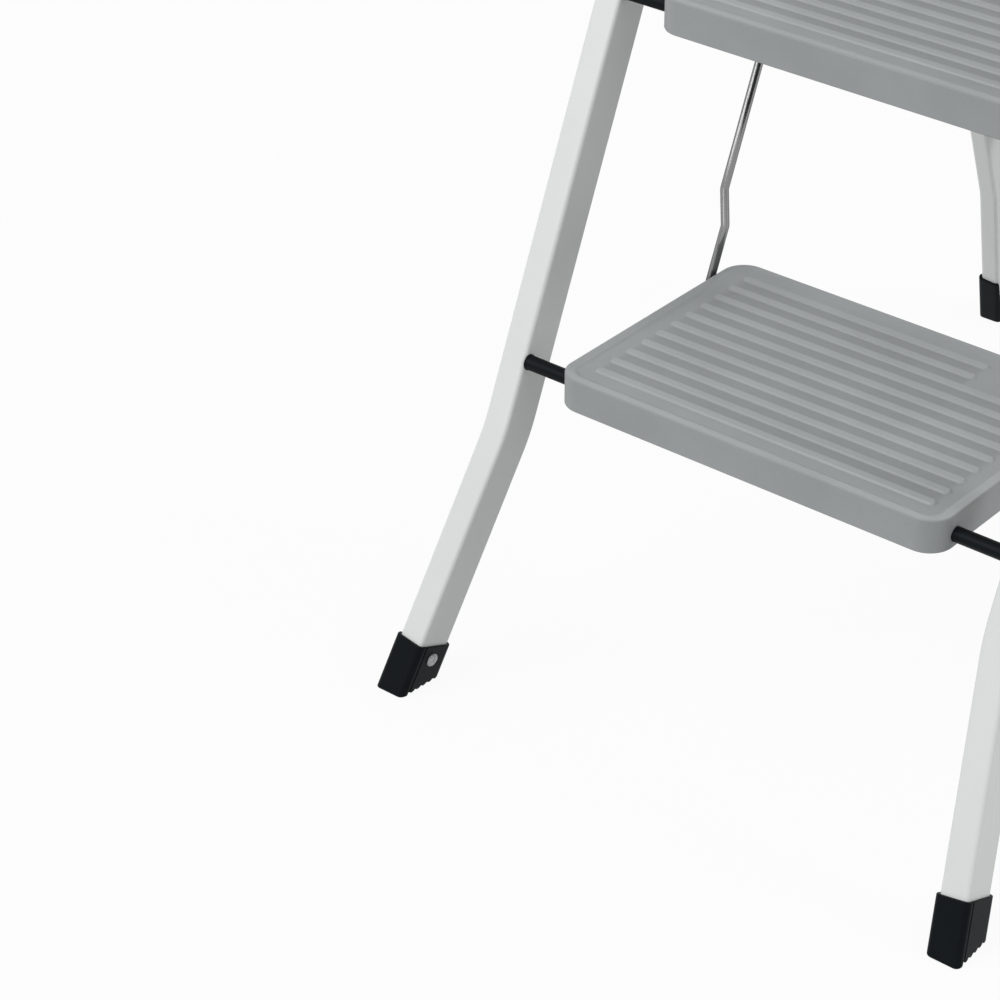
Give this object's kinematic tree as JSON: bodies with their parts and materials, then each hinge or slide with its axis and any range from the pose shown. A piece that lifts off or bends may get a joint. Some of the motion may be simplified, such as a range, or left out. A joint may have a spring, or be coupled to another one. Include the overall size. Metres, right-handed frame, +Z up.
{
  "type": "folding step stool",
  "caption": "Folding step stool, open: a leaning tube frame with a handrail hoop, ribbed plastic treads kept level by wire links, and a rear frame hinged behind the handrail.",
  "frame": {"origin": "on the floor at the middle of the footprint of the open stool", "axes": "+Z up, -Y the climbing side, +X the climber's right"},
  "size_m": [0.4788, 0.7636, 1.1047],
  "materials": {
    "frame_paint": "satin light grey powder coat",
    "tread_plastic": "fine-grained mid grey moulding",
    "black_plastic": "satin black",
    "foot_rubber": "satin black",
    "wire_steel": "zinc plated",
    "bright_steel": "zinc plated"
  },
  "bodies": {
    "front_frame": {"front_frame": "frame_paint", "lower_axle": "bright_steel", "middle_axle": "bright_steel", "platform_axle": "bright_steel", "lower_spacer_left": "black_plastic", "lower_spacer_right": "black_plastic", "middle_spacer_left": "black_plastic", "middle_spacer_right": "black_plastic", "platform_spacer_left": "black_plastic", "platform_spacer_right": "black_plastic", "hinge_bracket_left": "black_plastic", "hinge_bracket_right": "black_plastic", "hinge_pin_left": "bright_steel", "hinge_pin_right": "bright_steel", "bracket_rivets": "bright_steel", "front_foot_left": "foot_rubber", "front_foot_right": "foot_rubber", "front_foot_rivets": "bright_steel"},
    "lower_tread": {"lower_tread": "tread_plastic", "lower_rear_pin": "bright_steel", "lower_pin_caps": "black_plastic"},
    "middle_tread": {"middle_tread": "tread_plastic", "middle_rear_pin": "bright_steel", "middle_pin_caps": "black_plastic"},
    "platform": {"platform": "tread_plastic", "platform_rear_pin": "bright_steel", "platform_pin_caps": "black_plastic", "platform_pin_washers": "black_plastic", "platform_clip_left": "black_plastic", "platform_clip_right": "black_plastic", "clip_screws": "bright_steel"},
    "lower_links": {"lower_link_left": "wire_steel", "lower_link_right": "wire_steel"},
    "upper_links": {"upper_link_left": "wire_steel", "upper_link_right": "wire_steel"},
    "rear_frame": {"rear_leg_left": "frame_paint", "rear_leg_right": "frame_paint", "support_bar": "frame_paint", "rear_brace": "frame_paint", "rear_plug_left": "black_plastic", "rear_plug_right": "black_plastic", "rear_foot_left": "foot_rubber", "rear_foot_right": "foot_rubber", "rear_foot_rivets": "bright_steel"}
  },
  "joints": [
    {"name": "platform_fold", "type": "hinge", "parent": "front_frame", "child": "platform", "pos_m": [0, -0.07856, 0.7008], "axis": [1, 0, 0], "range_deg": [0, 63.5]},
    {"name": "middle_tread_fold", "type": "hinge", "parent": "front_frame", "child": "middle_tread", "pos_m": [0, -0.17761, 0.4663], "axis": [1, 0, 0], "range_deg": [0, 63.5]},
    {"name": "lower_tread_fold", "type": "hinge", "parent": "front_frame", "child": "lower_tread", "pos_m": [0, -0.27667, 0.2318], "axis": [1, 0, 0], "range_deg": [0, 63.5]},
    {"name": "lower_link_turn", "type": "hinge", "parent": "lower_tread", "child": "lower_links", "pos_m": [0, -0.12267, 0.2318], "axis": [1, 0, 0], "range_deg": [-63.5, 0]},
    {"name": "upper_link_turn", "type": "hinge", "parent": "middle_tread", "child": "upper_links", "pos_m": [0, -0.02362, 0.4663], "axis": [1, 0, 0], "range_deg": [-63.5, 0]},
    {"name": "rear_fold", "type": "hinge", "parent": "front_frame", "child": "rear_frame", "pos_m": [0, 0.04309, 0.861], "axis": [-1, 0, 0], "range_deg": [0, 43.1]}
  ],
  "couplings": [
    {"joint": "middle_tread_fold", "follows": "platform_fold", "ratio": 1},
    {"joint": "lower_tread_fold", "follows": "platform_fold", "ratio": 1},
    {"joint": "lower_link_turn", "follows": "platform_fold", "ratio": -1},
    {"joint": "upper_link_turn", "follows": "platform_fold", "ratio": -1},
    {"joint": "rear_fold", "follows": "platform_fold", "ratio": 0.67874}
  ]
}
